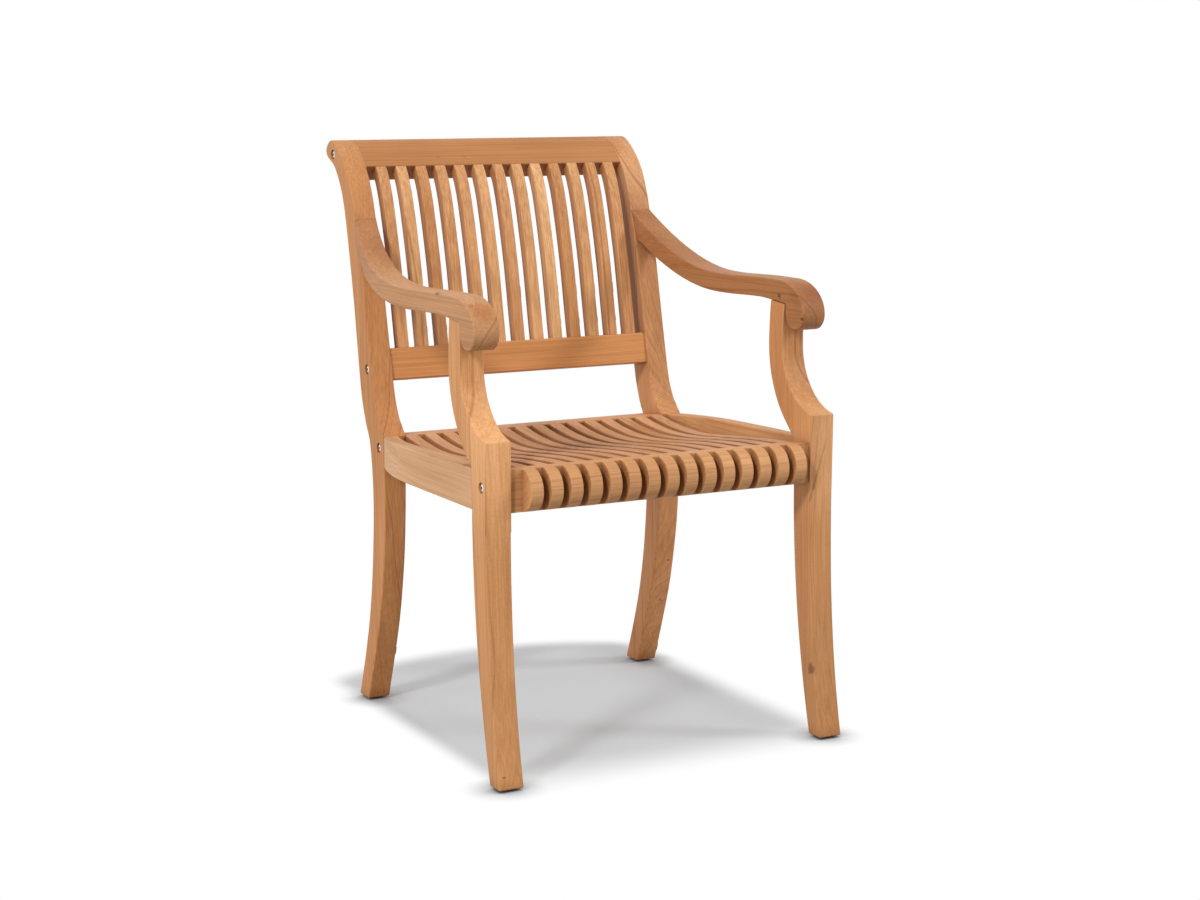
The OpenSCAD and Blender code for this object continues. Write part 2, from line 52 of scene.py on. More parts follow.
# Further than anything on the chair, and the two corners that lie that far
FAR = 9.0
LOWEST, HIGHEST = (-FAR,) * 3, (FAR,) * 3


# Small helpers for node trees

def put(tree, kind, inputs=None, **settings):
    """Adds a node, sets its own settings, then links or sets its inputs."""
    node = tree.nodes.new(kind)
    for name, value in settings.items():
        setattr(node, name, value)
    for key, value in (inputs or {}).items():
        if isinstance(value, bpy.types.NodeSocket):
            tree.links.new(value, node.inputs[key])
        else:
            node.inputs[key].default_value = value
    return node


def calc(tree, operation, *values, clamp=False):
    """A Math node's result."""
    inputs = dict(enumerate(values))
    return put(tree, "ShaderNodeMath", inputs, operation=operation, use_clamp=clamp).outputs[0]


def vec(tree, operation, *values):
    """A Vector Math node's result, which is a number for a length or a dot product."""
    node = put(tree, "ShaderNodeVectorMath", dict(enumerate(values)), operation=operation)
    return node.outputs["Value" if operation in ("LENGTH", "DOT_PRODUCT") else "Vector"]


def scaled(tree, vector, factor):
    """A vector or colour times one number."""
    inputs = {0: vector, "Scale": factor}
    return put(tree, "ShaderNodeVectorMath", inputs, operation="SCALE").outputs["Vector"]


def axes(tree, vector):
    """The three parts of a vector."""
    return put(tree, "ShaderNodeSeparateXYZ", {0: vector}).outputs


def blend(tree, share, first, second):
    """A colour mixed from two, by the share of the second."""
    inputs = {0: share, 6: first, 7: second}
    return put(tree, "ShaderNodeMix", inputs, data_type="RGBA").outputs[2]


def noise(tree, at, scale=1.0, detail=2.0, rough=0.5):
    """A noise texture's value, about 0.5 on average."""
    inputs = {"Vector": at, "Scale": scale, "Detail": detail, "Roughness": rough}
    return put(tree, "ShaderNodeTexNoise", inputs).outputs[0]


def openness(tree, reach, samples):
    """How open the space is within reach of the surface, from 0 to 1."""
    node = put(tree, "ShaderNodeAmbientOcclusion", {"Distance": reach}, samples=samples)
    return node.outputs["AO"]


def place_on_object(tree):
    """The point being shaded, in the object's own metres."""
    return put(tree, "ShaderNodeTexCoord").outputs["Object"]


def seen_directly(tree):
    """1 for rays from the camera, mirror rays and rays through glass, else 0."""
    rays = put(tree, "ShaderNodeLightPath").outputs
    seen = calc(tree, "MAXIMUM", rays["Is Camera Ray"], rays["Is Glossy Ray"])
    return calc(tree, "MAXIMUM", seen, rays["Is Transmission Ray"])


def add_sockets(tree, direction, kind, *names):
    """Gives a node group inputs or outputs of one kind."""
    for name in names:
        tree.interface.new_socket(name, in_out=direction, socket_type="NodeSocket" + kind)


def empty_material(name):
    """A node material with nothing in it, and its tree."""
    mat = bpy.data.materials.new(name)
    mat.use_nodes = True
    mat.node_tree.nodes.clear()
    return mat, mat.node_tree


def linear_light(r, g, b):
    """A colour given as 0 to 255 display values, in linear light."""
    def linear(c):
        c /= 255
        return c / 12.92 if c <= 0.04045 else ((c + 0.055) / 1.055) ** 2.4
    return (linear(r), linear(g), linear(b), 1.0)


# Eased edges

# Edges that turn by less than the first stay as they are, and by less than the second look smooth
EASED_FROM, SMOOTH_TO = math.radians(30), math.radians(40)
# How far a wall of a bore looks for the wall across, from just above its own face, and the share
# of an edge's faces that have to see one
BORE_REACH, BORE_START, BORE_SHARE = 30 * MM, 0.8 * MM, 0.2
# Corners this near each other are joined, and so are faces that turn by less than this
JOIN_WITHIN, JOIN_TURN = 0.01 * MM, math.radians(0.4)


def edge_group():
    """Geometry nodes that choose the edges to ease and write their bevel weights."""
    tree = bpy.data.node_groups.new("ChooseEdges", "GeometryNodeTree")
    add_sockets(tree, "INPUT", "Geometry", "Geometry")
    add_sockets(tree, "INPUT", "Vector", "Low", "High", "Along", "Flush side", "Skip low",
                "Skip high")
    add_sockets(tree, "INPUT", "Float", "Least", "Flush from", "Flush within", "Walls from")
    add_sockets(tree, "OUTPUT", "Geometry", "Geometry")
    inp = put(tree, "NodeGroupInput").outputs
    angle = put(tree, "GeometryNodeInputMeshEdgeAngle").outputs["Signed Angle"]
    middle = put(tree, "GeometryNodeInputPosition").outputs[0]
    middle_x, middle_y = axes(tree, middle)[:2]
    ends = put(tree, "GeometryNodeInputMeshEdgeVertices").outputs
    normal = put(tree, "GeometryNodeInputNormal").outputs[0]

    def between(low, high):
        over = axes(tree, vec(tree, "SUBTRACT", middle, low))
        under = axes(tree, vec(tree, "SUBTRACT", high, middle))
        room = over[0]
        for side in [over[1], over[2], under[0], under[1], under[2]]:
            room = calc(tree, "MINIMUM", room, side)
        return calc(tree, "GREATER_THAN", room, 0.0)

    def unless(condition):
        return calc(tree, "SUBTRACT", 1.0, condition)

    heading = vec(tree, "NORMALIZE", vec(tree, "SUBTRACT", ends["Position 1"], ends["Position 2"]))
    aligned = calc(tree, "ABSOLUTE", vec(tree, "DOT_PRODUCT", heading, inp["Along"]))
    wanted = calc(tree, "MAXIMUM", between(inp["Low"], inp["High"]),
                  calc(tree, "GREATER_THAN", aligned, inp["Least"]))
    convex = calc(tree, "GREATER_THAN", angle, EASED_FROM)
    skipped = between(inp["Skip low"], inp["Skip high"])
    # A wall of a bore or mortise sees the wall across from it
    start = vec(tree, "MULTIPLY_ADD", normal, (BORE_START,) * 3, middle)
    ray = put(tree, "GeometryNodeRaycast", {
        "Target Geometry": inp["Geometry"], "Source Position": start, "Ray Direction": normal,
        "Ray Length": BORE_REACH}).outputs["Is Hit"]
    faced = put(tree, "GeometryNodeFieldOnDomain", {0: ray}, data_type="FLOAT",
                domain="FACE").outputs[0]
    wall = calc(tree, "MULTIPLY", calc(tree, "GREATER_THAN", faced, BORE_SHARE),
                calc(tree, "GREATER_THAN", middle_y, inp["Walls from"]))
    # Where another piece lies flush against the inner side, that side's edges stay sharp
    reach = vec(tree, "DOT_PRODUCT", middle, inp["Flush side"])
    flush = calc(tree, "MULTIPLY", calc(tree, "GREATER_THAN", reach, inp["Flush from"]),
                 calc(tree, "LESS_THAN", calc(tree, "ABSOLUTE", middle_x), inp["Flush within"]))
    chosen = wanted
    for condition in [convex, unless(skipped), unless(wall), unless(flush)]:
        chosen = calc(tree, "MULTIPLY", chosen, condition)
    out = put(tree, "GeometryNodeStoreNamedAttribute", {
        "Geometry": inp["Geometry"], "Name": "bevel_weight_edge", "Value": chosen},
        data_type="FLOAT", domain="EDGE").outputs[0]
    put(tree, "NodeGroupOutput", {0: out})
    return tree


def smooth_group():
    """Geometry nodes that shade faces smooth, apart from the sharper edges."""
    tree = bpy.data.node_groups.new("SmoothByAngle", "GeometryNodeTree")
    add_sockets(tree, "INPUT", "Geometry", "Geometry")
    add_sockets(tree, "OUTPUT", "Geometry", "Geometry")
    inp = put(tree, "NodeGroupInput").outputs
    angle = put(tree, "GeometryNodeInputMeshEdgeAngle").outputs["Unsigned Angle"]
    gentle = calc(tree, "LESS_THAN", angle, SMOOTH_TO)
    faces = put(tree, "GeometryNodeSetShadeSmooth", {0: inp[0]}, domain="FACE").outputs[0]
    edges = put(tree, "GeometryNodeSetShadeSmooth", {0: faces, "Shade Smooth": gentle},
                domain="EDGE").outputs[0]
    put(tree, "NodeGroupOutput", {0: edges})
    return tree


CHOOSE = edge_group()
SMOOTH = smooth_group()
SOCKETS = {item.name: item.identifier for item in CHOOSE.interface.items_tree
           if item.in_out == "INPUT"}


def modify(piece, name, kind, **settings):
    """Adds a modifier."""
    modifier = piece.modifiers.new(name, kind)
    for key, value in settings.items():
        setattr(modifier, key, value)
    return modifier


def ease(name, width, low=LOWEST, high=HIGHEST, along=(0, 0, 1), least=2.0, walls_from=-FAR,
         flush=((0, 0, 1), FAR, 0.0), skip=(HIGHEST, HIGHEST)):
    """Rounds edges of a CAD node with modifiers, which leave its own mesh as it is.

    Those with their middle between low and high are rounded, and elsewhere those that run along a
    direction, to within the cosine least. Three kinds stay sharp: walls of bores that lie behind
    walls_from, edges at a flush face, and those between the corners of skip. The flush face is a
    direction, how far along it the face starts, and how near the chair's middle plane it lies.
    """
    piece = bpy.data.objects[name]
    modify(piece, "Weld", "WELD", merge_threshold=JOIN_WITHIN)
    modify(piece, "Flat", "DECIMATE", decimate_type="DISSOLVE", angle_limit=JOIN_TURN)
    choose = modify(piece, "Choose", "NODES", node_group=CHOOSE)
    for key, value in {"Low": low, "High": high, "Along": along, "Least": least,
                       "Walls from": walls_from, "Flush side": flush[0], "Flush from": flush[1],
                       "Flush within": flush[2], "Skip low": skip[0], "Skip high": skip[1]}.items():
        choose[SOCKETS[key]] = value
    modify(piece, "Bevel", "BEVEL", limit_method="WEIGHT", width=width, segments=3,
           use_clamp_overlap=False, miter_outer="MITER_SHARP")
    modify(piece, "Smooth", "NODES", node_group=SMOOTH)
    modify(piece, "Normals", "WEIGHTED_NORMAL", keep_sharp=True)


# Teak

# The usual looks of a piece: the rings' width in millimetres, and the strengths of the rest
PLAIN_LOOKS = {"Ring": 4.0, "Wander": 1.0, "Rings": 1.0, "Streaks": 1.0, "Clouds": 1.0,
               "Mottle": 0.0}
# Noise in the wood: its cycles in a millimetre across the grain and along it, detail, roughness
DRIFT, WOBBLE, CLOUD, MOTTLE = (0.01, 0.0028), (0.06, 0.008), (0.022, 0.005), (0.2, 0.3)
FIBRE, STREAK, PORE = (1.4, 0.014, 3.0, 0.6), (0.3, 0.003, 3.0, 0.6), (2.4, 0.06, 1.0)
# How far the rings drift and wobble, in millimetres, and how unequal they are, in rings
DRIFT_BY, WOBBLE_BY, UNEVEN_BY = 30.0, 1.3, 2.4
# How much each kind of figure darkens the wood, how dark it is without them, and its pores' share
RING_DEPTH, FIBRE_DEPTH, STREAK_DEPTH, CLOUD_DEPTH, MOTTLE_DEPTH = 0.62, 0.4, 1.1, 0.8, 0.7
PLAIN_DEPTH, PORE_DEPTH = 0.3, 0.4
# Tints of the palest wood, of the darkest, of its pores and of painted shade
EARLY_WOOD, LATE_WOOD = (1.17, 1.18, 1.18), (0.66, 0.53, 0.4)
IN_PORES, IN_PAINTED_SHADE = (0.55, 0.45, 0.38), (0.4, 0.29, 0.22)
# Painted shade lies where other wood is nearer than this
PAINTED_SHADE_REACH, PAINTED_SHADE_DEPTH = 26 * MM, 0.85
# A mark with every half size over this many millimetres is a zone with a soft rim
ZONE_FROM = 15


def teak_group():
    """Growth rings, fibres and pores round a pith that runs along Z, as a solid texture."""
    tree = bpy.data.node_groups.new("TeakGrain", "ShaderNodeTree")
    add_sockets(tree, "INPUT", "Vector", "Vector")
    add_sockets(tree, "INPUT", "Color", "Base")
    add_sockets(tree, "INPUT", "Float", *PLAIN_LOOKS)
    add_sockets(tree, "OUTPUT", "Color", "Color")
    add_sockets(tree, "OUTPUT", "Float", "Height")
    inp = put(tree, "NodeGroupInput").outputs
    place = scaled(tree, inp["Vector"], 1 / MM)

    def drawn(across, along, detail=2.0, rough=0.5):
        at = vec(tree, "MULTIPLY", place, (across, across, along))
        return noise(tree, at, 1.0, detail, rough)

    def centred(value, size):
        return calc(tree, "MULTIPLY", calc(tree, "SUBTRACT", value, 0.5), size)

    # The rings, which drift and wobble along the grain and differ in width
    x, y = axes(tree, place)[:2]
    radius = calc(tree, "SQRT", calc(tree, "ADD", calc(tree, "MULTIPLY", x, x),
                                     calc(tree, "MULTIPLY", y, y)))
    drift = calc(tree, "MULTIPLY", centred(drawn(*DRIFT), DRIFT_BY), inp["Wander"])
    wobble = calc(tree, "MULTIPLY", centred(drawn(*WOBBLE), WOBBLE_BY), inp["Wander"])
    radius = calc(tree, "ADD", radius, calc(tree, "ADD", drift, wobble))
    count = calc(tree, "DIVIDE", radius, inp["Ring"])
    uneven = put(tree, "ShaderNodeTexNoise", {
        "W": calc(tree, "MULTIPLY", count, 0.4), "Scale": 1.0, "Detail": 1.0},
        noise_dimensions="1D").outputs[0]
    count = calc(tree, "ADD", count, centred(uneven, UNEVEN_BY))
    # In a ring, the pale early wood darkens to a sharp line of late wood
    late = put(tree, "ShaderNodeValToRGB", {0: calc(tree, "FRACT", count)})
    ramp = late.color_ramp
    ramp.interpolation = "B_SPLINE"
    ramp.elements[0].position, ramp.elements[0].color = 0.0, (0.7, 0.7, 0.7, 1)
    ramp.elements[1].position, ramp.elements[1].color = 1.0, (0.85, 0.85, 0.85, 1)
    for position, level in [(0.08, 0.25), (0.45, 0.1), (0.78, 0.35), (0.94, 1.0)]:
        ramp.elements.new(position).color = (level, level, level, 1)
    late = late.outputs[0]
    year = put(tree, "ShaderNodeTexWhiteNoise", {"W": calc(tree, "FLOOR", count)},
               noise_dimensions="1D").outputs[0]
    strength = calc(tree, "MULTIPLY_ADD", calc(tree, "POWER", year, 1.6), 0.85, 0.15)
    ring = calc(tree, "MULTIPLY", calc(tree, "MULTIPLY", late, strength), inp["Rings"])

    # Pores are the peaks of their noise, and fewer in the late wood
    fibre = drawn(*FIBRE)
    pore = calc(tree, "SUBTRACT", drawn(*PORE), 0.62)
    pore = calc(tree, "MULTIPLY", pore, 8.0, clamp=True)
    pore = calc(tree, "MULTIPLY", pore, calc(tree, "MULTIPLY_ADD", late, -0.6, 1.0))

    depth = calc(tree, "MULTIPLY", ring, RING_DEPTH)
    depth = calc(tree, "ADD", depth, centred(fibre, FIBRE_DEPTH))
    for kind, size, look in [(STREAK, STREAK_DEPTH, "Streaks"), (CLOUD, CLOUD_DEPTH, "Clouds"),
                             (MOTTLE, MOTTLE_DEPTH, "Mottle")]:
        share = calc(tree, "MULTIPLY", centred(drawn(*kind), size), inp[look])
        depth = calc(tree, "ADD", depth, share)
    depth = calc(tree, "ADD", depth, PLAIN_DEPTH, clamp=True)
    light = vec(tree, "MULTIPLY", inp["Base"], EARLY_WOOD)
    dark = vec(tree, "MULTIPLY", inp["Base"], LATE_WOOD)
    colour = blend(tree, depth, light, dark)
    in_pore = vec(tree, "MULTIPLY", colour, IN_PORES)
    colour = blend(tree, calc(tree, "MULTIPLY", pore, PORE_DEPTH), colour, in_pore)
    height = calc(tree, "SUBTRACT", calc(tree, "MULTIPLY", fibre, 0.6), pore)
    put(tree, "NodeGroupOutput", {"Color": colour, "Height": height})
    return tree


GRAIN = teak_group()


def dress(name, material):
    """Gives a CAD node its finish."""
    for slot in bpy.data.objects[name].material_slots:
        slot.material = material


def teak(name, grain, turn, away, tone, marks=(), **looks):
    """Dresses one piece in a teak of its own.

    The pith runs along the grain, away from the piece's middle by so many millimetres and turned
    round the grain by so many degrees. A mark is a knot, stain or zone: its place and half sizes in
    millimetres, and the tint it gives. Some zones are painted light and some painted shade.
    """
    mat, tree = empty_material("teak_" + name)
    low, high = box(name)
    along = Vector(grain).normalized()
    across = Vector((0, 1, 0)) if abs(along.x) > 0.7 else Vector((1, 0, 0))
    across = (across - along * across.dot(along)).normalized()
    lie = Matrix((across, along.cross(across), along))
    turn = math.radians(turn)
    pith = Vector((math.cos(turn), math.sin(turn), 0)) * away * MM
    place = place_on_object(tree)
    middle = lie @ ((low + high) / 2)
    at = put(tree, "ShaderNodeMapping", {
        "Vector": place, "Location": -middle - pith, "Rotation": lie.to_euler()},
        vector_type="POINT").outputs[0]
    wood = put(tree, "ShaderNodeGroup", node_tree=GRAIN)
    tree.links.new(at, wood.inputs["Vector"])
    wood.inputs["Base"].default_value = linear_light(*tone)
    for key, value in (PLAIN_LOOKS | looks).items():
        wood.inputs[key].default_value = value
    colour, height = wood.outputs["Color"], wood.outputs["Height"]

    if marks:
        stir = calc(tree, "MULTIPLY_ADD", noise(tree, place, 240.0, 3.0), 1.6, -0.8)
    for spot, size, tint in marks:
        ragged, full, gone = (0.15, 0.3, 1.25) if min(size) > ZONE_FROM else (1.0, 0.5, 1.1)
        off = vec(tree, "SUBTRACT", place, tuple(v * MM for v in spot))
        off = vec(tree, "DIVIDE", off, tuple(v * MM for v in size))
        off = calc(tree, "MULTIPLY_ADD", stir, ragged, vec(tree, "LENGTH", off))
        share = put(tree, "ShaderNodeMapRange", {
            "Value": off, "From Min": full, "From Max": gone, "To Min": 1.0, "To Max": 0.0},
            interpolation_type="SMOOTHSTEP").outputs[0]
        colour = blend(tree, share, colour, vec(tree, "MULTIPLY", colour, tint))

    # Painted shade, darkest where little light gets in: grooves, joints and the rims of bores
    closed = calc(tree, "SUBTRACT", 1.0, openness(tree, PAINTED_SHADE_REACH, 6))
    closed = calc(tree, "MULTIPLY", closed, PAINTED_SHADE_DEPTH, clamp=True)
    colour = blend(tree, closed, colour, vec(tree, "MULTIPLY", colour, IN_PAINTED_SHADE))
    bump = put(tree, "ShaderNodeBump", {"Strength": 0.25, "Distance": 0.3 * MM, "Height": height})
    shader = put(tree, "ShaderNodeBsdfPrincipled", {
        "Base Color": colour, "Roughness": calc(tree, "MULTIPLY_ADD", height, -0.12, 0.58),
        "Specular IOR Level": 0.3, "Normal": bump.outputs[0]})
    put(tree, "ShaderNodeOutputMaterial", {0: shader.outputs[0]})
    dress(name, mat)


def steel(name, colour, roughness):
    """Brushed steel for the fasteners."""
    mat, tree = empty_material(name)
    at = vec(tree, "MULTIPLY", place_on_object(tree), (300.0, 4000.0, 4000.0))
    brushed = noise(tree, at)
    # Painted shade darkens the socket and the root of the head
    unshaded = calc(tree, "POWER", openness(tree, 4 * MM, 8), 2.5)
    bump = put(tree, "ShaderNodeBump", {"Strength": 0.1, "Distance": 0.05 * MM, "Height": brushed})
    shader = put(tree, "ShaderNodeBsdfPrincipled", {
        "Base Color": scaled(tree, colour, unshaded), "Metallic": 1.0, "Normal": bump.outputs[0],
        "Roughness": calc(tree, "MULTIPLY_ADD", brushed, 0.2, roughness)})
    put(tree, "ShaderNodeOutputMaterial", {0: shader.outputs[0]})
    return mat


def plastic():
    """Matte black plastic with a fine moulded grain."""
    mat, tree = empty_material("black_plastic")
    grain = noise(tree, place_on_object(tree), 2500.0)
    bump = put(tree, "ShaderNodeBump", {"Strength": 0.2, "Distance": 0.05 * MM, "Height": grain})
    shader = put(tree, "ShaderNodeBsdfPrincipled", {
        "Base Color": (0.03, 0.028, 0.026, 1), "Normal": bump.outputs[0],
        "Roughness": calc(tree, "MULTIPLY_ADD", grain, 0.3, 0.35)})
    put(tree, "ShaderNodeOutputMaterial", {0: shader.outputs[0]})
    return mat


# Where the pieces meet, from the frame

def box(name):
    """A CAD node's lowest and highest corner."""
    low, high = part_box(name)
    return Vector(low), Vector(high)


# How far the boxes of the cross rails and of the seat slats reach into their neighbours
RAIL_STUB, SLAT_TENON = 10 * MM, 12 * MM
# The ends that are left sharp: a front leg's top in the arm, an arm's in the post, a side rail's
LEG_TOP, ARM_END, SIDE_END = 22 * MM, 30 * MM, 13 * MM
# How far inside a face the edges have to lie to be rounded
CLEAR, HAIR = 1 * MM, 0.03 * MM

rail_low, rail_high = box("seat_front_rail")
back_low, back_high = box("seat_back_rail")
side_low, side_high = box("side_rail_right")
leg_top = box("front_leg_right")[1].z - LEG_TOP
leg_in = rail_high.x - RAIL_STUB
post_in = back_high.x - RAIL_STUB
seat_front = box("seat_slat_08")[0].y + SLAT_TENON
seat_back = back_low.y
seat_slats = sorted(n for n in frame["nodes"] if n.startswith("seat_slat_"))
back_slats = sorted(n for n in frame["nodes"] if n.startswith("back_slat_"))

# The crest rail lies flush between the posts, above its sloping underside
CREST_TILT, CREST_DROP = math.radians(40), 40.6 * MM
crest_low, crest_high = box("crest_rail")
crest_side = Vector((0, math.sin(CREST_TILT), math.cos(CREST_TILT)))
crest_from = crest_side.dot((0, crest_low.y, crest_high.z - CREST_DROP)) - CLEAR

# Corners round the joints where rounded edges would overlap
post_joint = ((-FAR, -FAR, side_low.z + 20 * MM),
              (FAR, side_high.y + 4 * MM, side_high.z + 8 * MM))
leg_joint = ((-FAR, -300 * MM, 380 * MM), (FAR, -240 * MM, 466 * MM))

# Radii of the frame's edges, of the seat's and of the back slats'
FRAME_EDGE, SEAT_EDGE, SLAT_EDGE = 2.5 * MM, 1.2 * MM, 1.3 * MM
# Least cosines between an edge along a front leg, an arm or a back slat and the axis it follows
LEG_LEAN, ARM_LEAN, SLAT_LEAN = 0.6, 0.55, 0.7
for side in ["left", "right"]:
    ease("rear_post_" + side, FRAME_EDGE, flush=(crest_side, crest_from, post_in + CLEAR),
         skip=post_joint)
    ease("front_leg_" + side, FRAME_EDGE, high=(FAR, FAR, leg_top), least=LEG_LEAN, skip=leg_joint)
    ease("arm_" + side, FRAME_EDGE, high=(FAR, box("arm_" + side)[1].y - ARM_END, FAR),
         along=(0, 1, 0), least=ARM_LEAN)
    ease("side_rail_" + side, FRAME_EDGE, low=(-FAR, side_low.y + SIDE_END, -FAR),
         high=(FAR, side_high.y - SIDE_END, FAR))
ease("seat_front_rail", SEAT_EDGE, low=(CLEAR - leg_in, -FAR, rail_low.z + HAIR),
     high=(leg_in - CLEAR, FAR, rail_high.z - HAIR), walls_from=seat_front - SLAT_TENON)
for name in ["seat_back_rail", "lower_back_rail", "crest_rail"]:
    ease(name, FRAME_EDGE, low=(CLEAR - post_in, -FAR, -FAR), high=(post_in - CLEAR, FAR, FAR))
for name in seat_slats:
    ease(name, SEAT_EDGE, low=(-FAR, seat_front + CLEAR / 2, -FAR),
         high=(FAR, seat_back - CLEAR / 2, FAR))
for name in back_slats:
    ease(name, SLAT_EDGE, high=LOWEST, least=SLAT_LEAN, walls_from=FAR)

# Finishes. Directions of the grain, tints of the marks, and then the tone of each piece
UP, LEANING, CROSS, ARM = (0, 0.04, 1), (0, 0.12, 1), (1, 0, 0), (0, 1, 0)
GREY, RED, DARK, BROWN = (0.5, 0.47, 0.5), (0.84, 0.68, 0.52), (0.45, 0.36, 0.3), (0.8, 0.68, 0.6)
PALE, PAINTED_LIGHT_HIGH, SALLOW = (1.22, 1.34, 1.5), (1.32, 1.46, 1.68), (1.0, 1.07, 1.16)
PAINTED_LIGHT_LOW, SHADE = (1.4, 1.42, 1.45), (0.86, 0.86, 0.86)

teak("rear_post_left", UP, 165, 130, (202, 141, 88), Rings=1.3, Wander=0.9, marks=[
    ((-250, 305, 890), (60, 55, 34), SALLOW)])
# The right post's large zone over its leg, below the seat, is painted light
teak("rear_post_right", UP, 50, 90, (200, 143, 95), Ring=4.4, Rings=1.5, Wander=1.5, marks=[
    ((256, 135, 190), (3, 8, 2.5), DARK), ((252, 155, 117), (3, 7, 2), DARK),
    ((250, 250, 850), (60, 60, 80), PALE), ((250, 150, 180), (90, 170, 270), PAINTED_LIGHT_LOW)])
# On both front legs the zone high up is painted light and the zone low down is painted shade, so
# each leg is lighter higher up
teak("front_leg_left", UP, 140, 110, (215, 155, 101), Ring=5.0, Mottle=0.4, marks=[
    ((-280, -331, 22), (4, 4, 1.6), DARK), ((-270, -290, 560), (70, 80, 200), PAINTED_LIGHT_HIGH),
    ((-270, -320, 60), (70, 80, 200), SHADE)])
teak("front_leg_right", UP, 40, 120, (204, 146, 95), Ring=5.0, Mottle=0.3, marks=[
    ((251, -308, 107), (5, 9, 11), GREY), ((275, -300, 440), (60, 60, 110), PALE),
    ((270, -320, 60), (70, 80, 200), SHADE)])
teak("arm_left", ARM, 60, 110, (197, 146, 103), marks=[
    ((-270, -262, 677), (24, 28, 26), RED), ((-284, -243, 680), (6, 6, 4), RED),
    ((-290, -148, 690), (5, 9, 3), GREY), ((-250, 190, 755), (80, 140, 90), BROWN)])
teak("arm_right", ARM, 120, 110, (172, 119, 76), marks=[
    ((252, -204, 666), (4, 6, 4), DARK), ((252, -267, 637), (5, 5, 3), DARK),
    ((280, -260, 675), (40, 40, 34), BROWN)])
teak("side_rail_left", ARM, 50, 150, (220, 174, 131), Ring=3.4, Rings=0.7, marks=[
    ((-285, -224, 452), (6, 7, 2), GREY)])
teak("side_rail_right", ARM, 130, 150, (208, 154, 106), Ring=3.4)
teak("seat_front_rail", CROSS, 50, 160, (212, 158, 108), Ring=2.6)
teak("seat_back_rail", CROSS, 230, 160, (200, 142, 94))
teak("lower_back_rail", CROSS, 230, 120, (209, 146, 90), Ring=3.4)
teak("crest_rail", CROSS, 230, 140, (186, 128, 78), Rings=0.6, Ring=5.0, marks=[
    ((-100, 268, 867), (3, 2, 1.2), RED), ((-54, 267, 866.5), (2.2, 2, 1.6), RED)])

SEAT_TONES = [(204, 151, 107), (199, 146, 103), (209, 156, 113)]
for i, name in enumerate(seat_slats):
    teak(name, ARM, 40 + 100 * math.sin(9 * i), 90 + 50 * math.cos(7 * i),
         SEAT_TONES[i * 5 % 7 % 3], Ring=3.2)
# From dark to light, and which of them each slat of the back has, from left to right
BACK_TONES = [(203, 145, 93), (213, 156, 105), (221, 167, 115), (231, 180, 128)]
BACK_ORDER = [1, 2, 0, 1, 1, 2, 1, 2, 3, 0, 2, 1, 1]
for i, (name, tone) in enumerate(zip(back_slats, BACK_ORDER)):
    teak(name, LEANING, 185 + 32 * math.sin(8 * i), 90 + 50 * math.cos(5 * i), BACK_TONES[tone],
         Ring=4.5, Rings=1.2, Streaks=1.5, Wander=0.5)
dress("connector_bolts", steel("steel_bolts", (0.82, 0.81, 0.79), 0.25))
dress("barrel_nuts", steel("steel_nuts", (0.5, 0.49, 0.46), 0.4))
dress("foot_glides", plastic())


# Floor, light and camera

WHITE = (1, 1, 1, 1)
# How near a foot the floor gets its painted contact shadow, and how strongly
CONTACT_REACH, CONTACT_POWER = 45 * MM, 1.6


def floor_material():
    """A pale floor that keeps the chair's soft shadow between its feet and is white beyond them."""
    mat, tree = empty_material("stage_floor")
    x, y = axes(tree, place_on_object(tree))[:2]
    bulge = calc(tree, "MULTIPLY_ADD", calc(tree, "MULTIPLY", x, x), 1.1, y)
    inside = 1.0
    # Where the shadow's patch starts and where it is full, at each of its four sides
    for reach, start, full in [(x, -0.29, -0.245), (x, 0.32, 0.25), (y, -0.38, -0.22),
                               (bulge, 0.45, 0.375)]:
        fade = put(tree, "ShaderNodeMapRange", {
            "Value": reach, "From Min": start, "From Max": full},
            interpolation_type="SMOOTHSTEP").outputs[0]
        inside = calc(tree, "MULTIPLY", inside, fade)
    # Painted contact shadow: the floor's glow and its white dim where the feet close it in
    contact = calc(tree, "POWER", openness(tree, CONTACT_REACH, 8), CONTACT_POWER)
    glow = calc(tree, "MULTIPLY", contact, 0.3)
    glow = put(tree, "ShaderNodeEmission", {"Color": WHITE, "Strength": glow}).outputs[0]
    white = put(tree, "ShaderNodeEmission", {"Color": WHITE, "Strength": contact}).outputs[0]
    plain = put(tree, "ShaderNodeBsdfDiffuse", {"Color": (0.45, 0.45, 0.45, 1)}).outputs[0]
    lit = put(tree, "ShaderNodeBsdfDiffuse", {"Color": (0.36, 0.37, 0.38, 1)}).outputs[0]
    shown = put(tree, "ShaderNodeAddShader", {0: lit, 1: glow}).outputs[0]
    shown = put(tree, "ShaderNodeMixShader", {0: inside, 1: white, 2: shown}).outputs[0]
    mix = put(tree, "ShaderNodeMixShader", {0: seen_directly(tree), 1: plain, 2: shown}).outputs[0]
    put(tree, "ShaderNodeOutputMaterial", {0: mix})
    return mat


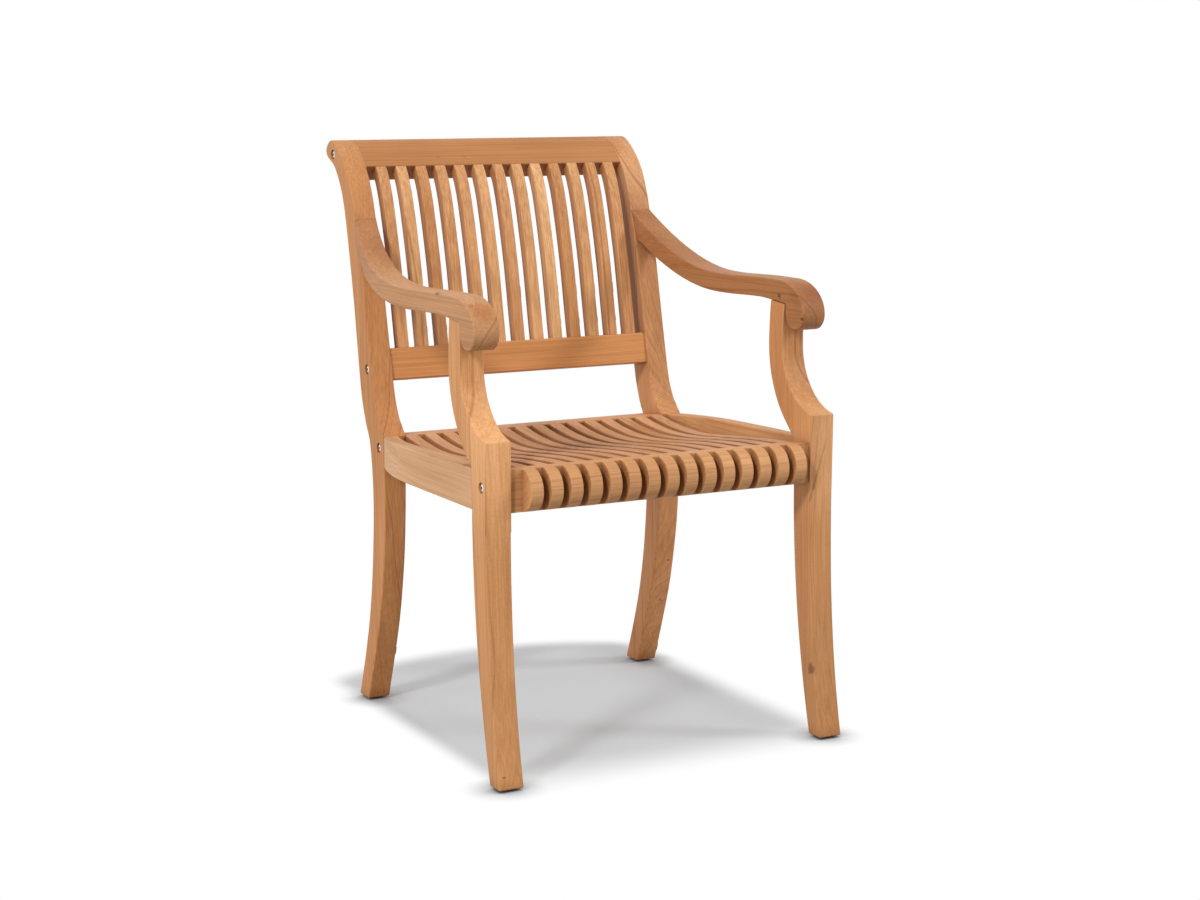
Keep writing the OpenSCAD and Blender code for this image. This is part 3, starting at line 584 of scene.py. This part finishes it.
def world_light():
    """White behind the chair, and soft light on it, stronger from the sides than from above."""
    world = bpy.data.worlds.new("Studio")
    bpy.context.scene.world = world
    world.use_nodes = True
    tree = world.node_tree
    tree.nodes.clear()
    height = axes(tree, put(tree, "ShaderNodeTexCoord").outputs["Generated"])[2]
    level = calc(tree, "SUBTRACT", 1.0, calc(tree, "ABSOLUTE", height))
    around = calc(tree, "MULTIPLY_ADD", calc(tree, "POWER", level, 3.0), 0.32, 0.12)
    strength = put(tree, "ShaderNodeMix", {0: seen_directly(tree), 2: around, 3: 1.0},
                   data_type="FLOAT").outputs[0]
    glow = put(tree, "ShaderNodeBackground", {0: WHITE, 1: strength}).outputs[0]
    put(tree, "ShaderNodeOutputWorld", {0: glow})


def sun(name, turn, height, power, spread):
    """A distant soft lamp: its degrees from the front towards +X, and degrees up, its strength, and
    how many degrees it is across.
    """
    lamp = bpy.data.lights.new(name, "SUN")
    lamp.energy = power
    lamp.angle = math.radians(spread)
    obj = bpy.data.objects.new(name, lamp)
    bpy.context.scene.collection.objects.link(obj)
    turn, height = math.radians(turn), math.radians(height)
    level = math.cos(height)
    source = Vector((math.sin(turn) * level, -math.cos(turn) * level, math.sin(height)))
    obj.rotation_euler = (-source).to_track_quat("-Z", "Y").to_euler()


# One triangle, so that no edge of the floor crosses the picture
mesh = bpy.data.meshes.new("stage_floor")
mesh.from_pydata([(-90, -50, 0), (90, -50, 0), (0, 130, 0)], [], [(0, 1, 2)])
floor = bpy.data.objects.new("stage_floor", mesh)
bpy.context.scene.collection.objects.link(floor)
floor.data.materials.append(floor_material())

world_light()
sun("key", -58, 34, 1.55, 9)
sun("fill", 60, 32, 1.25, 12)
sun("low", -64, 7, 0.5, 8)
sun("back", 176, 40, 0.45, 10)
sun("side", -90, 18, 0.22, 12)
sun("top", -20, 80, 0.6, 30)

# The photograph's camera, which looks along +Y, turned towards +X and dipped below the level
CAMERA_PLACE = Vector((-1602.7, -3060.0, 999.2)) * MM
CAMERA_TURN, CAMERA_DIP = math.radians(28.41), math.radians(9.54)
camera = bpy.data.cameras.new("Camera")
camera.sensor_width = 36
camera.lens = 67.08
view = bpy.data.objects.new("Camera", camera)
bpy.context.scene.collection.objects.link(view)
view.location = CAMERA_PLACE
ahead = Vector((math.sin(CAMERA_TURN) * math.cos(CAMERA_DIP),
                math.cos(CAMERA_TURN) * math.cos(CAMERA_DIP), -math.sin(CAMERA_DIP)))
view.rotation_euler = ahead.to_track_quat("-Z", "Y").to_euler()
bpy.context.scene.camera = view
bpy.context.scene.view_settings.view_transform = "Standard"
